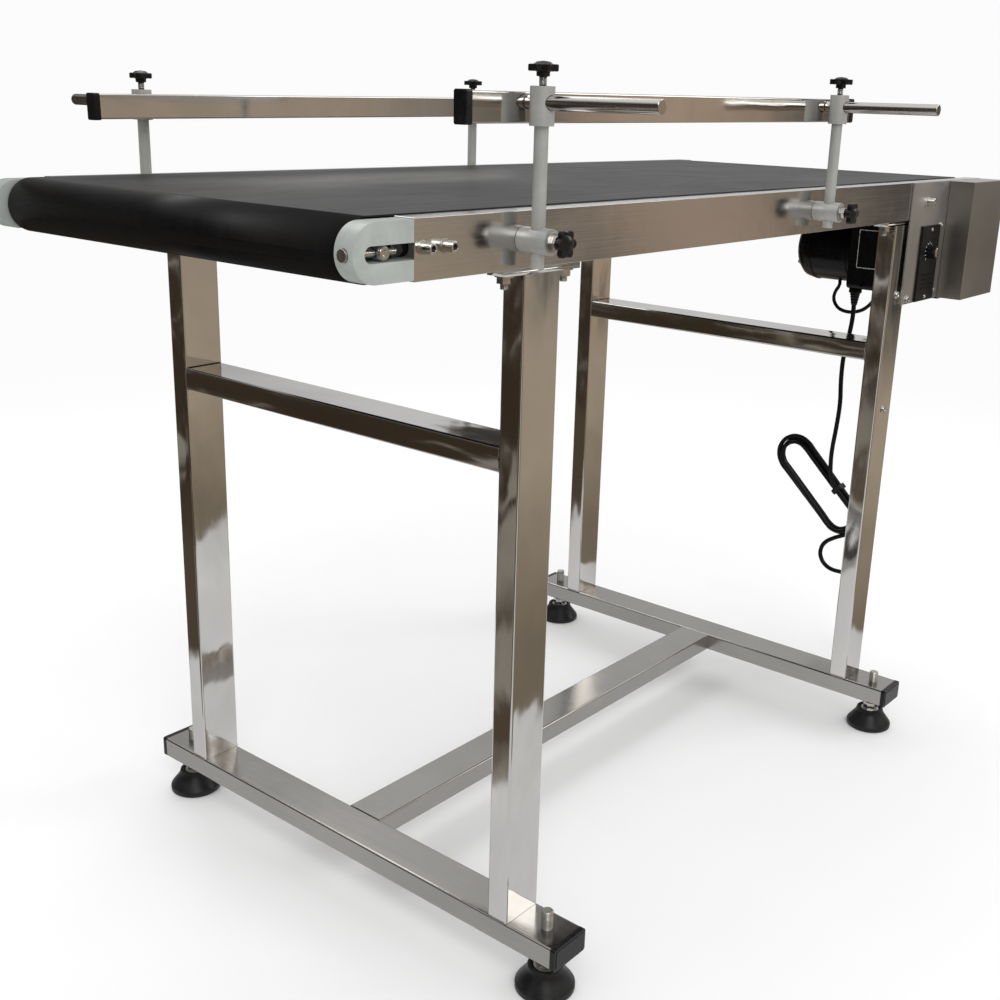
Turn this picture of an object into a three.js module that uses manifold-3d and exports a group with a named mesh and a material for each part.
// Belt conveyor section: two side frames on an H-shaped stand, an endless belt over two rollers,
// a chain-driven gearmotor at the drive end and two adjustable guide rails.
// Millimetres. +X runs along the belt to the drive end, +Y across it to the rear, +Z up.
// The operator side is -Y, the floor is z = 0 and x = 0 is the middle of the overall length.
import * as THREE from "three";
import { mergeVertices } from "three/addons/utils/BufferGeometryUtils.js";
import Module from "manifold-3d";

const wasm = await Module();
wasm.setup();

// ---- driving dimensions ----
const GAP = 0.3;                       // running or fitting gap between neighbouring pieces
const HALF_LENGTH = 620;               // half the overall length
const SIDES = [["front", -1], ["rear", 1]];
const CORNERS = [
  ["front_tail", -1, "tail"],
  ["front_drive", -1, "drive"],
  ["rear_tail", 1, "tail"],
  ["rear_drive", 1, "drive"],
];

const TUBE = { width: 50, depth: 25, wall: 1.5, radius: 2.5 };
const STAND_X = { tail: -392, drive: 372 };

const BEAM = { bottom: 44.5, halfLength: 317 };
const BEAM_TOP = BEAM.bottom + TUBE.depth;
const LEG = { outerY: 256.5, top: 720.7 };
const LEG_PLATE = { halfLength: 52, innerY: 237, outerY: 257, thickness: 5 };
const CROSS_BAR_TOP = 563.5;

const FOOT = { y: 289.5, padRadius: 31, padHeight: 28, nutRadius: 9.5, nutTop: 36, studRadius: 6 };
const FOOT_STUD_TOP = { front_tail: 90, front_drive: 84, rear_tail: 84, rear_drive: 87 };

const FRAME = {
  tailX: -554, driveX: HALF_LENGTH, bottom: 726, top: 775, outerY: 259, web: 2, flangeY: 236,
};

const ROLLER = { z: 750, radius: 23.2, halfLength: 232, tailX: -582, driveX: 579 };
const BELT = { innerRadius: ROLLER.radius + GAP, thickness: 2.5, halfWidth: 235 };
const BED = { tailX: -555, driveX: 562, thickness: 2, halfWidth: 235.7, skirt: 32 };

const TAIL_SHAFT = { radius: 6, halfLength: 254 };
const HOUSING = {
  tipX: 2 - HALF_LENGTH, innerY: 239, bottom: 727.5, top: 774, tongueEndX: -505,
  slotTailX: -606, slotEndX: -540, slotHeight: 13,
};
const TENSION_SCREW = { y: 249, radius: 3, headRadius: 5, headLength: 5, sink: 3, endX: -566 };

const DRIVE_SHAFT = { radius: 7.5, rearY: 256, frontY: -291 };
const BEARING = { half: 20, innerY: 242 };

const MOTOR_PLATE = { tailX: 379, driveX: HALF_LENGTH, bottom: 614, top: 774.5, thickness: 2 };
const MOTOR_PLATE_OUTER_Y = -(FRAME.outerY + GAP + MOTOR_PLATE.thickness);
const COVER = { tailX: 501, driveX: HALF_LENGTH, bottom: 613, top: 774.5, outerY: -296, wall: 1.5 };
const MOTOR = { x: 561, z: 661, radius: 48, endY: -25, boxY: -118, boxHalf: 52, endRounding: 20 };
const SHAFT_OFFSET = 8;                // output shaft above the motor axis
const OUTPUT = { x: MOTOR.x, z: MOTOR.z + SHAFT_OFFSET, radius: 6, innerY: -257.6 };

const CHAIN = { pitch: 9.525, teeth: 10, y: -279, toothWidth: 5, plate: 1.3, plateHalfHeight: 4.1 };
const PITCH_RADIUS = CHAIN.pitch / (2 * Math.sin(Math.PI / CHAIN.teeth));
const SPROCKET = {
  rootRadius: PITCH_RADIUS - 3.2, tipRadius: PITCH_RADIUS + 1.6, hubRadius: 10, bore: GAP,
};

const PANEL = {
  tailX: 418.5, driveX: 478, bottom: 614.5, top: 717, plate: 3, bodyInnerY: -222, inset: 8,
};
const SPEED_KNOB = { x: 446, z: 681, radius: 9, length: 11, ridges: 12 };

const CLAMP_X = { tail: -424, drive: 107 };
const CLAMP = { radius: 11, outerY: 290, z: 751, postY: 275 };
const POST = { radius: 6, bottom: 728 };
const HEAD = { radius: 10.3, below: 18, above: 13 };
const RAIL = {
  startX: -498, endX: 174, height: 25, thickness: 12, wall: 1.2, outerY: 260, radius: 1.5, belowRod: 4,
};
// Heights of the rods; each post is set by hand, so the rails rise a little toward the drive end.
const ROD_Z = { front_tail: 861, front_drive: 866, rear_tail: 848, rear_drive: 856 };
const ROD = { radius: 6, outerY: { front: 391, rear: 403 } };
const STAR = {
  lobes: 6, radius: 12.5, valley: 8.8, height: 5.5, domeRadius: 8, dome: 2.6,
  neckRadius: 5.5, neck: 4, standOff: 7, studRadius: 3,
};

const CORD = { radius: 3.4, sides: 8, steps: 64 };
const LEAD = { radius: 2.8, sides: 8, steps: 24 };
const GLAND = { x: 525, y: -127.5, tipRadius: 4.6, baseRadius: 7.5, nutRadius: 9.5, nut: 7, length: 25 };
const PLUG = {
  x: 530, y: -178, top: 100, width: 26, depth: 20, height: 34, tipRadius: 4.8, neckRadius: 7, neck: 22,
};
// The hank is a racetrack in the plane across X; from and to are the middles of its two folds, in Y and Z.
const HANK = { x: 537.2, thickness: 17, foldRadius: 27, band: 17, from: [-135, 248], to: [-50, 330] };

// ---- materials ----
function material(color, roughness, metalness) {
  return new THREE.MeshStandardMaterial({ color, roughness, metalness });
}
const polished = () => material(0xb9b4ad, 0.15, 1.0);
const brushed = () => material(0x9d9790, 0.38, 1.0);
const casting = () => material(0xa5aca6, 0.45, 0.2);
const steel = () => material(0xc4c6c8, 0.3, 1.0);
const blackPlastic = () => material(0x121213, 0.45, 0.0);
const blackPaint = () => material(0x17181a, 0.35, 0.1);
const rubber = () => material(0x1b1c1d, 0.75, 0.0);
const beltRubber = () => material(0x202122, 0.6, 0.0);

// ---- shapes ----
const ROUND = 24;
const Y_BASIS = new THREE.Matrix4().makeBasis(
  new THREE.Vector3(1, 0, 0), new THREE.Vector3(0, 0, 1), new THREE.Vector3(0, -1, 0));
const X_BASIS = new THREE.Matrix4().makeBasis(
  new THREE.Vector3(0, 1, 0), new THREE.Vector3(0, 0, 1), new THREE.Vector3(1, 0, 0));

// A box between two opposite corners, given in any order.
function box([xa, xb], [ya, yb], [za, zb]) {
  const geometry = new THREE.BoxGeometry(Math.abs(xb - xa), Math.abs(yb - ya), Math.abs(zb - za));
  return geometry.translate((xa + xb) / 2, (ya + yb) / 2, (za + zb) / 2);
}

// A round bar along one axis: at is the two other coordinates in x, y, z order.
function bar(axis, radius, [from, to], at, sides = ROUND) {
  const geometry = new THREE.CylinderGeometry(radius, radius, Math.abs(to - from), sides);
  const middle = (from + to) / 2;
  if (axis === "x") return geometry.rotateZ(Math.PI / 2).translate(middle, at[0], at[1]);
  if (axis === "y") return geometry.translate(at[0], middle, at[1]);
  return geometry.rotateX(Math.PI / 2).translate(at[0], at[1], middle);
}

// Extrudes a flat shape along an axis. The shape is drawn in (y, z), (x, z) or (x, y).
function prism(axis, shape, [from, to], curveSegments = 8) {
  const low = Math.min(from, to);
  const high = Math.max(from, to);
  const depth = high - low;
  const geometry = new THREE.ExtrudeGeometry(shape, { depth, bevelEnabled: false, curveSegments });
  if (axis === "x") return geometry.applyMatrix4(X_BASIS).translate(low, 0, 0);
  if (axis === "y") return geometry.applyMatrix4(Y_BASIS).translate(0, high, 0);
  return geometry.translate(0, 0, low);
}

function roundedRectangle(Target, cx, cy, width, height, radius) {
  const x = cx - width / 2;
  const y = cy - height / 2;
  const path = new Target();
  path.moveTo(x + radius, y);
  path.lineTo(x + width - radius, y);
  path.absarc(x + width - radius, y + radius, radius, -Math.PI / 2, 0);
  path.lineTo(x + width, y + height - radius);
  path.absarc(x + width - radius, y + height - radius, radius, 0, Math.PI / 2);
  path.lineTo(x + radius, y + height);
  path.absarc(x + radius, y + height - radius, radius, Math.PI / 2, Math.PI);
  path.lineTo(x, y + radius);
  path.absarc(x + radius, y + radius, radius, Math.PI, Math.PI * 1.5);
  return path;
}

// An open-ended rectangular tube along an axis, centred on (cx, cy) of its section.
function rectangularTube(axis, cx, cy, width, height, wall, radius, span) {
  const shape = roundedRectangle(THREE.Shape, cx, cy, width, height, radius);
  const hole = roundedRectangle(THREE.Path, cx, cy, width - 2 * wall, height - 2 * wall, radius - wall / 2);
  shape.holes.push(hole);
  return prism(axis, shape, span, 1);
}

// The racetrack round two centres, in (x, z).
function racetrack(Target, [ax, az], [bx, bz], radius) {
  const along = Math.atan2(bz - az, bx - ax);
  const path = new Target();
  path.absarc(bx, bz, radius, along - Math.PI / 2, along + Math.PI / 2);
  path.absarc(ax, az, radius, along + Math.PI / 2, along + Math.PI * 1.5);
  path.closePath();
  return path;
}

function racetrackBand(a, b, inner, outer, span, segments = 16) {
  const shape = racetrack(THREE.Shape, a, b, outer);
  shape.holes.push(racetrack(THREE.Path, a, b, inner));
  return prism("y", shape, span, segments);
}

// A lathed solid whose profile of [radius, height] pairs starts and ends on the axis.
function lathe(profile, sides = ROUND) {
  return new THREE.LatheGeometry(profile.map(([r, h]) => new THREE.Vector2(r, h)), sides);
}

// ---- booleans, used only to join and cut ----
function solid(geometry) {
  const bare = geometry.clone();
  bare.deleteAttribute("normal");
  bare.deleteAttribute("uv");
  const merged = mergeVertices(bare, 1e-3);
  const mesh = new wasm.Mesh({
    numProp: 3,
    vertProperties: new Float32Array(merged.attributes.position.array),
    triVerts: new Uint32Array(merged.index.array),
  });
  return new wasm.Manifold(mesh);
}

function shaped(base, added = [], cut = []) {
  let result = solid(base);
  for (const geometry of added) result = result.add(solid(geometry));
  for (const geometry of cut) result = result.subtract(solid(geometry));
  const mesh = result.getMesh();
  const geometry = new THREE.BufferGeometry();
  geometry.setAttribute("position", new THREE.BufferAttribute(new Float32Array(mesh.vertProperties), 3));
  geometry.setIndex(new THREE.BufferAttribute(new Uint32Array(mesh.triVerts), 1));
  geometry.computeVertexNormals();
  return geometry;
}

// ---- assembly ----
const conveyor = new THREE.Group();
conveyor.name = "belt_conveyor_section";
const groups = {};
for (const name of ["stand", "bed", "tail_end", "drive_end", "guides", "power_supply"]) {
  groups[name] = new THREE.Group();
  groups[name].name = name;
  conveyor.add(groups[name]);
}

function place(group, name, geometry, surface) {
  const mesh = new THREE.Mesh(geometry, surface);
  mesh.name = name;
  groups[group].add(mesh);
}

// ---- stand: two legs and a cross bar over each base beam, and one long beam between them ----
const BEAM_Z = BEAM.bottom + TUBE.depth / 2;
for (const [end, x] of Object.entries(STAND_X)) {
  const beam = rectangularTube(
    "y", x, BEAM_Z, TUBE.width, TUBE.depth, TUBE.wall, TUBE.radius, [-BEAM.halfLength, BEAM.halfLength]);
  const studHoles = SIDES.map(([, side]) =>
    bar("z", FOOT.studRadius + GAP, [BEAM.bottom - 1, BEAM_TOP + 1], [x, side * FOOT.y]));
  place("stand", `base_beam_${end}`, shaped(beam, [], studHoles), brushed());

  const barHalf = LEG.outerY - TUBE.depth - GAP;
  const crossBar = rectangularTube(
    "y", x, CROSS_BAR_TOP - TUBE.depth / 2, TUBE.width, TUBE.depth, TUBE.wall, TUBE.radius,
    [-barHalf, barHalf]);
  place("stand", `cross_bar_${end}`, crossBar, polished());
}

const longBeamEnds = [
  STAND_X.tail + TUBE.width / 2 + GAP,
  STAND_X.drive - TUBE.width / 2 - GAP,
];
const longBeam = rectangularTube(
  "x", 0, BEAM_Z, TUBE.width, TUBE.depth, TUBE.wall, TUBE.radius, longBeamEnds);
place("stand", "long_beam", longBeam, brushed());

for (const [corner, side, end] of CORNERS) {
  const x = STAND_X[end];
  const legTube = rectangularTube(
    "z", x, side * (LEG.outerY - TUBE.depth / 2), TUBE.width, TUBE.depth, TUBE.wall, TUBE.radius,
    [BEAM_TOP + GAP, LEG.top]);
  const topPlate = box(
    [x - LEG_PLATE.halfLength, x + LEG_PLATE.halfLength],
    [side * LEG_PLATE.innerY, side * LEG_PLATE.outerY],
    [LEG.top - 0.2, LEG.top + LEG_PLATE.thickness]);
  place("stand", `leg_${corner}`, shaped(legTube, [topPlate]), polished());

  const studTop = FOOT_STUD_TOP[corner];
  const foot = lathe([
    [0, 0], [FOOT.padRadius - 1, 0], [FOOT.padRadius, 1.5], [FOOT.padRadius, 6], [FOOT.padRadius - 2, 9],
    [19, FOOT.padHeight - 6], [17, FOOT.padHeight], [FOOT.nutRadius, FOOT.padHeight],
    [FOOT.nutRadius, FOOT.nutTop], [FOOT.studRadius, FOOT.nutTop],
    [FOOT.studRadius, studTop - 1], [FOOT.studRadius - 1, studTop], [0, studTop],
  ]);
  place("stand", `foot_${corner}`, foot.rotateX(Math.PI / 2).translate(x, side * FOOT.y, 0), rubber());
}

// ---- bed: two channel side frames with the slider plate between them, inside the belt loop ----
function channelShape(side) {
  const y = (value) => side * value;
  const inner = FRAME.outerY - FRAME.web;
  const points = [
    [FRAME.outerY, FRAME.bottom], [FRAME.outerY, FRAME.top], [FRAME.flangeY, FRAME.top],
    [FRAME.flangeY, FRAME.top - FRAME.web], [inner, FRAME.top - FRAME.web],
    [inner, FRAME.bottom + FRAME.web], [FRAME.flangeY, FRAME.bottom + FRAME.web],
    [FRAME.flangeY, FRAME.bottom],
  ];
  return new THREE.Shape(points.map(([py, pz]) => new THREE.Vector2(y(py), pz)));
}

for (const [name, side] of SIDES) {
  const channel = prism("x", channelShape(side), [FRAME.tailX, FRAME.driveX]);
  const bearingSeat = box(
    [ROLLER.driveX - BEARING.half, ROLLER.driveX + BEARING.half],
    [side * BEARING.innerY, side * (FRAME.outerY - FRAME.web + 0.2)],
    [ROLLER.z - BEARING.half, ROLLER.z + BEARING.half]);
  const shaftHole = bar(
    "y", DRIVE_SHAFT.radius + GAP, [side * (BEARING.innerY - 1), side * (FRAME.outerY + 1)],
    [ROLLER.driveX, ROLLER.z]);
  place("bed", `side_frame_${name}`, shaped(channel, [bearingSeat], [shaftHole]), brushed());
}

const bedTop = ROLLER.z + BELT.innerRadius - GAP;
const bedShape = new THREE.Shape([
  [-BED.halfWidth, bedTop - BED.skirt], [-BED.halfWidth, bedTop], [BED.halfWidth, bedTop],
  [BED.halfWidth, bedTop - BED.skirt], [BED.halfWidth - BED.thickness, bedTop - BED.skirt],
  [BED.halfWidth - BED.thickness, bedTop - BED.thickness],
  [BED.thickness - BED.halfWidth, bedTop - BED.thickness],
  [BED.thickness - BED.halfWidth, bedTop - BED.skirt],
].map(([y, z]) => new THREE.Vector2(y, z)));
place("bed", "slider_bed", prism("x", bedShape, [BED.tailX, BED.driveX]), steel());

const tailCentre = [ROLLER.tailX, ROLLER.z];
const driveCentre = [ROLLER.driveX, ROLLER.z];
const beltBand = racetrackBand(
  tailCentre, driveCentre, BELT.innerRadius, BELT.innerRadius + BELT.thickness,
  [-BELT.halfWidth, BELT.halfWidth], 14);
place("bed", "belt", beltBand, beltRubber());

// ---- tail end: idle roller on a fixed shaft that two screws pull along slotted housings ----
const tailRoller = shaped(
  bar("y", ROLLER.radius, [-ROLLER.halfLength, ROLLER.halfLength], tailCentre, 36), [],
  [bar("y", TAIL_SHAFT.radius + GAP, [-ROLLER.halfLength - 1, ROLLER.halfLength + 1], tailCentre)]);
place("tail_end", "tail_roller", tailRoller, steel());

const screwHoles = SIDES.map(([, side]) =>
  bar("x", TENSION_SCREW.radius + GAP, [ROLLER.tailX - 10, ROLLER.tailX + 10],
    [side * TENSION_SCREW.y, ROLLER.z], 16));
const tailShaft = shaped(
  bar("y", TAIL_SHAFT.radius, [-TAIL_SHAFT.halfLength, TAIL_SHAFT.halfLength], tailCentre), [], screwHoles);
place("tail_end", "tail_shaft", tailShaft, steel());

for (const [name, side] of SIDES) {
  const endRadius = (HOUSING.top - HOUSING.bottom) / 2;
  const middle = (HOUSING.top + HOUSING.bottom) / 2;
  const head = new THREE.Shape();
  head.moveTo(FRAME.tailX - GAP, HOUSING.bottom);
  head.lineTo(FRAME.tailX - GAP, HOUSING.top);
  head.absarc(HOUSING.tipX + endRadius, middle, endRadius, Math.PI / 2, Math.PI * 1.5);
  const tongue = box(
    [FRAME.tailX - GAP - 1, HOUSING.tongueEndX],
    [side * HOUSING.innerY, side * (FRAME.outerY - FRAME.web - GAP)],
    [FRAME.bottom + FRAME.web + GAP, FRAME.top - FRAME.web - GAP]);
  const slotRadius = HOUSING.slotHeight / 2;
  const slot = prism("y", racetrack(
    THREE.Shape, [HOUSING.slotTailX + slotRadius, ROLLER.z], [HOUSING.slotEndX - slotRadius, ROLLER.z],
    slotRadius),
    [side * (HOUSING.innerY - 1), side * (FRAME.outerY + 1)]);
  const screwBore = bar(
    "x", TENSION_SCREW.radius + GAP, [HOUSING.tipX - 1, HOUSING.slotTailX + slotRadius],
    [side * TENSION_SCREW.y, ROLLER.z], 16);
  const headSeat = bar(
    "x", TENSION_SCREW.headRadius + GAP, [HOUSING.tipX - 1, HOUSING.tipX + TENSION_SCREW.sink + GAP],
    [side * TENSION_SCREW.y, ROLLER.z], 24);
  const housing = shaped(
    prism("y", head, [side * HOUSING.innerY, side * FRAME.outerY], 12),
    [tongue], [slot, screwBore, headSeat]);
  place("tail_end", `tail_housing_${name}`, housing, casting());

  const headEnd = HOUSING.tipX + TENSION_SCREW.sink;
  const screw = shaped(
    bar("x", TENSION_SCREW.headRadius, [headEnd - TENSION_SCREW.headLength, headEnd],
      [side * TENSION_SCREW.y, ROLLER.z], 24),
    [bar("x", TENSION_SCREW.radius, [headEnd - 1, TENSION_SCREW.endX],
      [side * TENSION_SCREW.y, ROLLER.z], 16)]);
  place("tail_end", `tension_screw_${name}`, screw, steel());
}

// ---- drive end: roller, chain drive, gearmotor, plate, cover and speed control ----
const driveRoller = shaped(
  bar("y", ROLLER.radius, [-ROLLER.halfLength, ROLLER.halfLength], driveCentre, 36),
  [bar("y", DRIVE_SHAFT.radius, [DRIVE_SHAFT.frontY, DRIVE_SHAFT.rearY], driveCentre)]);
place("drive_end", "drive_roller", driveRoller, steel());

// A chain wheel on its hub, centred on (x, z) with teeth on the chain line.
function sprocket(x, z) {
  const points = [];
  for (let tooth = 0; tooth < CHAIN.teeth; tooth += 1) {
    const angle = (tooth / CHAIN.teeth) * Math.PI * 2;
    const step = Math.PI / CHAIN.teeth;
    for (const [offset, radius] of [[-0.62, SPROCKET.rootRadius], [-0.2, SPROCKET.tipRadius],
      [0.2, SPROCKET.tipRadius], [0.62, SPROCKET.rootRadius]]) {
      const at = angle + offset * step;
      points.push(new THREE.Vector2(x + radius * Math.cos(at), z + radius * Math.sin(at)));
    }
  }
  const half = CHAIN.toothWidth / 2;
  return prism("y", new THREE.Shape(points), [CHAIN.y - half, CHAIN.y + half]);
}

const hubSpan = [CHAIN.y - 8, CHAIN.y + 10];
const rollerSprocket = shaped(
  sprocket(ROLLER.driveX, ROLLER.z),
  [bar("y", SPROCKET.hubRadius, hubSpan, driveCentre)],
  [bar("y", DRIVE_SHAFT.radius + SPROCKET.bore, [CHAIN.y - 20, CHAIN.y + 20], driveCentre)]);
place("drive_end", "roller_sprocket", rollerSprocket, steel());

const outputCentre = [OUTPUT.x, OUTPUT.z];
const motorSprocket = shaped(
  sprocket(OUTPUT.x, OUTPUT.z),
  [bar("y", SPROCKET.hubRadius, hubSpan, outputCentre),
    bar("y", OUTPUT.radius, [OUTPUT.innerY, hubSpan[0] - 2], outputCentre)]);
place("drive_end", "motor_sprocket", motorSprocket, steel());

// The chain as a hollow-backed loop: side plates either side of the teeth and a rib over their tips.
const plateInner = PITCH_RADIUS - CHAIN.plateHalfHeight;
const plateOuter = PITCH_RADIUS + CHAIN.plateHalfHeight;
const ribInner = SPROCKET.tipRadius + GAP;
const chainHalf = CHAIN.toothWidth / 2 + GAP;
const chainPlates = [-1, 1].map((side) => racetrackBand(
  outputCentre, driveCentre, Math.max(plateInner, SPROCKET.hubRadius + GAP), plateOuter,
  [CHAIN.y + side * chainHalf, CHAIN.y + side * (chainHalf + CHAIN.plate)], 6));
const chainRib = racetrackBand(
  outputCentre, driveCentre, ribInner, plateOuter,
  [CHAIN.y - chainHalf - 0.2, CHAIN.y + chainHalf + 0.2], 6);
place("drive_end", "drive_chain", shaped(chainRib, chainPlates), steel());

const plateShape = new THREE.Shape([
  [MOTOR_PLATE.tailX, MOTOR_PLATE.bottom], [MOTOR_PLATE.driveX, MOTOR_PLATE.bottom],
  [MOTOR_PLATE.driveX, MOTOR_PLATE.top], [MOTOR_PLATE.tailX, MOTOR_PLATE.top],
].map(([x, z]) => new THREE.Vector2(x, z)));
for (const [x, z, radius] of [
  [ROLLER.driveX, ROLLER.z, DRIVE_SHAFT.radius + 1],
  [OUTPUT.x, OUTPUT.z, OUTPUT.radius + 1],
]) {
  plateShape.holes.push(new THREE.Path().absarc(x, z, radius, 0, Math.PI * 2, true));
}
const cutout = new THREE.Path([
  [PANEL.tailX + PANEL.inset - GAP, PANEL.bottom + PANEL.inset - GAP],
  [PANEL.tailX + PANEL.inset - GAP, PANEL.top - PANEL.inset + GAP],
  [PANEL.driveX - PANEL.inset + GAP, PANEL.top - PANEL.inset + GAP],
  [PANEL.driveX - PANEL.inset + GAP, PANEL.bottom + PANEL.inset - GAP],
].map(([x, z]) => new THREE.Vector2(x, z)));
plateShape.holes.push(cutout);
const motorPlate = prism(
  "y", plateShape, [MOTOR_PLATE_OUTER_Y, MOTOR_PLATE_OUTER_Y + MOTOR_PLATE.thickness], 12);
place("drive_end", "motor_plate", motorPlate, brushed());

const coverSpan = [COVER.outerY, MOTOR_PLATE_OUTER_Y - GAP];
const cover = shaped(
  box([COVER.tailX, COVER.driveX], coverSpan, [COVER.bottom, COVER.top]), [],
  [box(
    [COVER.tailX + COVER.wall, COVER.driveX - COVER.wall],
    [COVER.outerY + COVER.wall, coverSpan[1] + 1],
    [COVER.bottom + COVER.wall, COVER.top - COVER.wall])]);
place("drive_end", "chain_cover", cover, brushed());

const boxShape = roundedRectangle(THREE.Shape, MOTOR.x, MOTOR.z, 2 * MOTOR.boxHalf, 2 * MOTOR.boxHalf, 8);
boxShape.holes.push(new THREE.Path().absarc(OUTPUT.x, OUTPUT.z, OUTPUT.radius + GAP, 0, Math.PI * 2, true));
const gearboxFace = -(FRAME.outerY);
const gearboxBody = prism("y", boxShape, [gearboxFace, MOTOR.boxY - 10], 6);
const gearboxBack = prism(
  "y", roundedRectangle(THREE.Shape, MOTOR.x, MOTOR.z, 2 * MOTOR.boxHalf, 2 * MOTOR.boxHalf, 8),
  [MOTOR.boxY - 10.2, MOTOR.boxY], 6);
place("drive_end", "gearbox", shaped(gearboxBody, [gearboxBack]), blackPaint());

const motorLength = MOTOR.endY - MOTOR.boxY - GAP;
const round = MOTOR.endRounding;
const motorBody = lathe([
  [0, 0], [MOTOR.radius, 0], [MOTOR.radius, motorLength - round],
  [MOTOR.radius - 0.13 * round, motorLength - 0.5 * round],
  [MOTOR.radius - 0.5 * round, motorLength - 0.13 * round],
  [MOTOR.radius - round, motorLength], [0, motorLength],
], 32);
place("drive_end", "motor_body", motorBody.translate(MOTOR.x, MOTOR.boxY + GAP, MOTOR.z), blackPaint());

const panelFace = [MOTOR_PLATE_OUTER_Y - GAP - PANEL.plate, MOTOR_PLATE_OUTER_Y - GAP];
const panel = shaped(
  box([PANEL.tailX, PANEL.driveX], panelFace, [PANEL.bottom, PANEL.top]),
  [box(
    [PANEL.tailX + PANEL.inset, PANEL.driveX - PANEL.inset], [panelFace[1] - 0.2, PANEL.bodyInnerY],
    [PANEL.bottom + PANEL.inset, PANEL.top - PANEL.inset])]);
place("drive_end", "control_panel", panel, blackPlastic());

const knobShape = new THREE.Shape();
for (let ridge = 0; ridge < SPEED_KNOB.ridges * 2; ridge += 1) {
  const radius = ridge % 2 === 0 ? SPEED_KNOB.radius : SPEED_KNOB.radius - 1;
  const angle = (ridge / (SPEED_KNOB.ridges * 2)) * Math.PI * 2;
  const point = [SPEED_KNOB.x + radius * Math.cos(angle), SPEED_KNOB.z + radius * Math.sin(angle)];
  if (ridge === 0) knobShape.moveTo(...point);
  else knobShape.lineTo(...point);
}
const knobStart = panelFace[0] - GAP;
const speedKnob = prism("y", knobShape, [knobStart - SPEED_KNOB.length, knobStart]);
place("drive_end", "speed_knob", speedKnob, blackPlastic());

// ---- guides: post clamps on the side frames, posts with cross heads, rods and rails ----
// A six-lobed clamping knob with its dome, neck and threaded stud. The clamped face is at z = 0, the neck
// stands off from it, and the stud goes down below it.
function starKnob(studLength) {
  const outline = new THREE.Shape();
  const steps = STAR.lobes * 6;
  for (let step = 0; step < steps; step += 1) {
    const angle = (step / steps) * Math.PI * 2;
    const wave = (1 + Math.cos(STAR.lobes * angle)) / 2;
    const radius = STAR.valley + (STAR.radius - STAR.valley) * Math.sqrt(wave);
    const point = [radius * Math.cos(angle), radius * Math.sin(angle)];
    if (step === 0) outline.moveTo(...point);
    else outline.lineTo(...point);
  }
  const lobesFrom = STAR.standOff + STAR.neck;
  const lobesTo = lobesFrom + STAR.height;
  const dome = lathe([
    [0, lobesTo - 1], [STAR.domeRadius, lobesTo - 1], [STAR.domeRadius, lobesTo],
    [STAR.domeRadius * 0.7, lobesTo + STAR.dome * 0.7], [0, lobesTo + STAR.dome],
  ], 18).rotateX(Math.PI / 2);
  return shaped(
    prism("z", outline, [lobesFrom, lobesTo]),
    [dome, bar("z", STAR.neckRadius, [STAR.standOff, lobesFrom + 0.2], [0, 0], 18),
      bar("z", STAR.studRadius, [-studLength, STAR.standOff + 0.2], [0, 0], 12)]);
}

for (const [corner, side, end] of CORNERS) {
  const x = CLAMP_X[end];
  const postAt = [x, side * CLAMP.postY];
  const rodZ = ROD_Z[corner];
  const raised = rodZ - ROD_Z.front_tail;

  const clamp = shaped(
    bar("y", CLAMP.radius, [side * (FRAME.outerY + GAP), side * CLAMP.outerY], [x, CLAMP.z]), [],
    [bar("z", POST.radius + GAP, [CLAMP.z - 20, CLAMP.z + 20], postAt),
      bar("y", STAR.studRadius + GAP, [side * CLAMP.postY, side * (CLAMP.outerY + 1)], [x, CLAMP.z], 16)]);
  place("guides", `post_clamp_${corner}`, clamp, casting());

  const headSpan = [rodZ - HEAD.below, rodZ + HEAD.above];
  const post = shaped(
    bar("z", POST.radius, [POST.bottom + raised, headSpan[0] + 1], postAt),
    [bar("z", HEAD.radius, headSpan, postAt)],
    [bar("y", ROD.radius + GAP, [side * (CLAMP.postY - 20), side * (CLAMP.postY + 20)], [x, rodZ]),
      bar("z", STAR.studRadius + GAP, [rodZ, headSpan[1] + 1], postAt, 16)]);
  place("guides", `guide_post_${corner}`, post, casting());

  const studToPost = CLAMP.outerY + GAP - (CLAMP.postY + POST.radius + GAP);
  const sideKnob = starKnob(studToPost).rotateX((-side * Math.PI) / 2);
  sideKnob.translate(x, side * (CLAMP.outerY + GAP), CLAMP.z);
  place("guides", `post_knob_${corner}`, sideKnob, blackPlastic());

  const studToRod = headSpan[1] + GAP - (rodZ + ROD.radius + GAP);
  const topKnob = starKnob(studToRod).translate(x, side * CLAMP.postY, headSpan[1] + GAP);
  place("guides", `rod_knob_${corner}`, topKnob, blackPlastic());

  const rodEnd = side * ROD.outerY[side < 0 ? "front" : "rear"];
  const rod = bar("y", ROD.radius, [side * (RAIL.outerY + GAP), rodEnd], [x, rodZ]);
  place("guides", `guide_rod_${corner}`, rod, polished());
}

for (const [name, side] of SIDES) {
  const tailZ = ROD_Z[`${name}_tail`];
  const tilt = Math.atan2(ROD_Z[`${name}_drive`] - tailZ, CLAMP_X.drive - CLAMP_X.tail);
  const rail = rectangularTube(
    "x", side * (RAIL.outerY - RAIL.thickness / 2), -RAIL.belowRod, RAIL.thickness, RAIL.height,
    RAIL.wall, RAIL.radius, [RAIL.startX - CLAMP_X.tail, RAIL.endX - CLAMP_X.tail]);
  place("guides", `guide_rail_${name}`, rail.rotateY(-tilt).translate(CLAMP_X.tail, 0, tailZ), polished());
}

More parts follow.
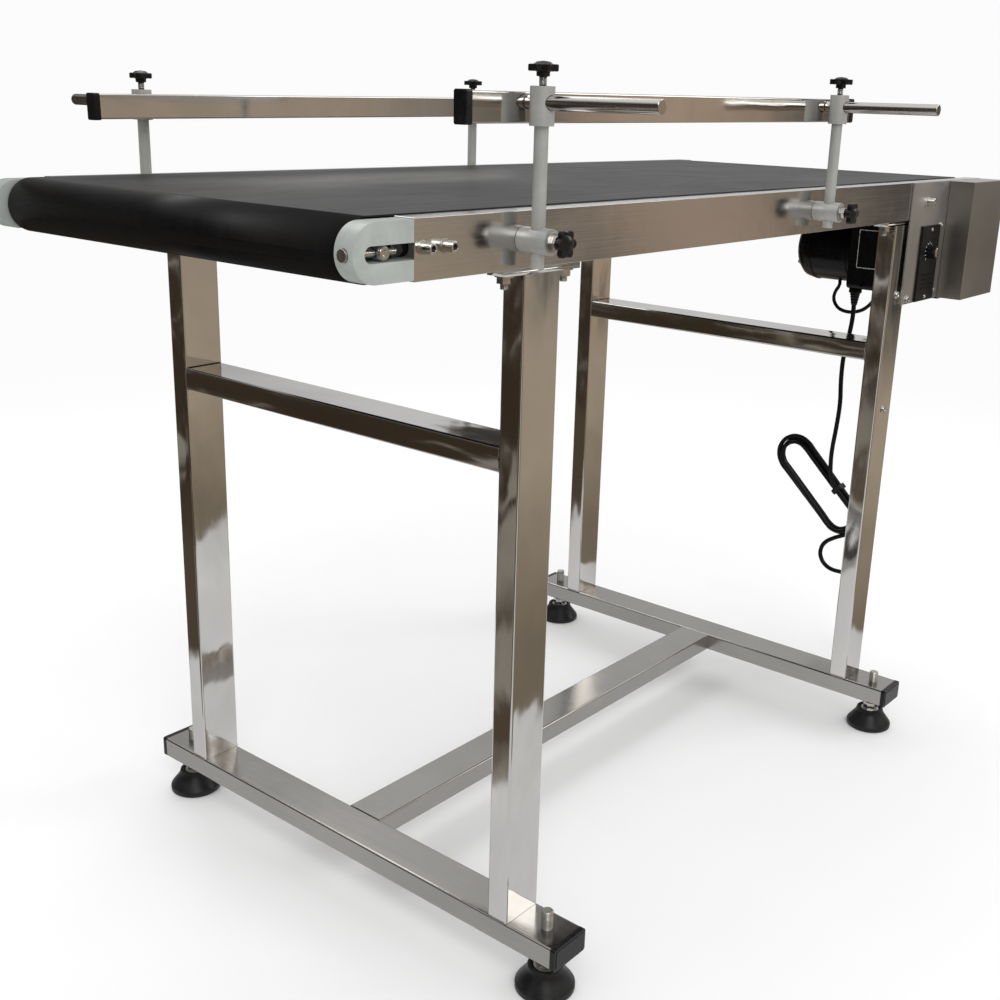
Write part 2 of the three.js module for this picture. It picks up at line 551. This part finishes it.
// ---- power supply: gland under the gearbox, cord with a tied hank, plug, and the motor's lead ----
const GLAND_TOP = MOTOR.z - MOTOR.boxHalf - GAP;
const gland = lathe([
  [0, 0], [GLAND.tipRadius, 0], [GLAND.baseRadius, GLAND.length - GLAND.nut],
  [GLAND.nutRadius, GLAND.length - GLAND.nut], [GLAND.nutRadius, GLAND.length], [0, GLAND.length],
], 24);
place("power_supply", "cord_gland",
  gland.rotateX(Math.PI / 2).translate(GLAND.x, GLAND.y, GLAND_TOP - GLAND.length), blackPlastic());

// A round cable through hand-chosen points.
function cable(points, { radius, sides, steps }) {
  const places = points.map(([x, y, z]) => new THREE.Vector3(x, y, z));
  const path = new THREE.CatmullRomCurve3(places, false, "centripetal");
  const circle = new THREE.Shape();
  circle.absarc(0, 0, radius, 0, Math.PI * 2);
  return new THREE.ExtrudeGeometry(circle, {
    steps, extrudePath: path, bevelEnabled: false, curveSegments: sides / 2,
  });
}

// Down from the gland, past the near side of the hank, out under its lower fold and round to the plug.
const CORD_ROUTE = [
  [GLAND.x, GLAND.y, GLAND_TOP - GLAND.length - GAP],
  [GLAND.x, GLAND.y, 562],
  [525, -125, 538],
  [525, -120, 505],
  [525, -119.5, 470],
  [525, -122, 430],
  [525, -120, 390],
  [525, -117, 354],
  [525, -117, 332],
  [525, -118.6, 311],
  [525, -127.4, 293],
  [525, -140, 280.7],
  [525, -153.8, 267.4],
  [525, -161.5, 252],
  [525, -159, 236],
  [525, -148.5, 224.6],
  [525, -127, 212.2],
  [526, -116, 202],
  [528, -112, 187],
  [529, -116, 172],
  [530, -127, 161.5],
  [530, -139, 158],
  [530, -150.5, 158],
  [530, -164.5, 154],
  [530, -174.5, 144],
  [530, PLUG.y, 131],
  [PLUG.x, PLUG.y, PLUG.top + PLUG.neck + GAP],
];
place("power_supply", "power_cord", cable(CORD_ROUTE, CORD), rubber());

// The tied surplus of the cord: a flat racetrack loop leaning back from the hanging run.
const HANK_OUTER = HANK.foldRadius + HANK.band / 2;
const hankShape = racetrack(THREE.Shape, HANK.from, HANK.to, HANK_OUTER);
hankShape.holes.push(racetrack(THREE.Path, HANK.from, HANK.to, HANK_OUTER - HANK.band));
place("power_supply", "cord_hank",
  prism("x", hankShape, [HANK.x - HANK.thickness / 2, HANK.x + HANK.thickness / 2], 6), rubber());

const plugBody = box(
  [PLUG.x - PLUG.depth / 2, PLUG.x + PLUG.depth / 2], [PLUG.y - PLUG.width / 2, PLUG.y + PLUG.width / 2],
  [PLUG.top - PLUG.height, PLUG.top]);
const plugNeck = lathe([
  [0, -1], [PLUG.neckRadius, -1], [PLUG.neckRadius, 0], [PLUG.tipRadius, PLUG.neck], [0, PLUG.neck],
], 20).rotateX(Math.PI / 2).translate(PLUG.x, PLUG.y, PLUG.top);
const pins = [-1, 1].map((side) => box(
  [PLUG.x - 3, PLUG.x + 3], [PLUG.y + side * 6.5 - 0.8, PLUG.y + side * 6.5 + 0.8],
  [PLUG.top - PLUG.height - 17, PLUG.top - PLUG.height + 1]));
place("power_supply", "power_plug", shaped(plugBody, [plugNeck, ...pins]), blackPlastic());

const LEAD_ROUTE = [
  [MOTOR.x, -84, MOTOR.z - MOTOR.radius - GAP],
  [MOTOR.x, -84, 605],
  [MOTOR.x, -78, 594],
  [MOTOR.x, -77, 582],
  [MOTOR.x, -86, 570],
  [MOTOR.x, -104, 566],
  [MOTOR.x, -126, 572],
  [MOTOR.x, -141, 587],
  [MOTOR.x, -146, 600],
  [MOTOR.x, -146, GLAND_TOP - GAP],
];
place("power_supply", "motor_lead", cable(LEAD_ROUTE, LEAD), rubber());

export default conveyor;
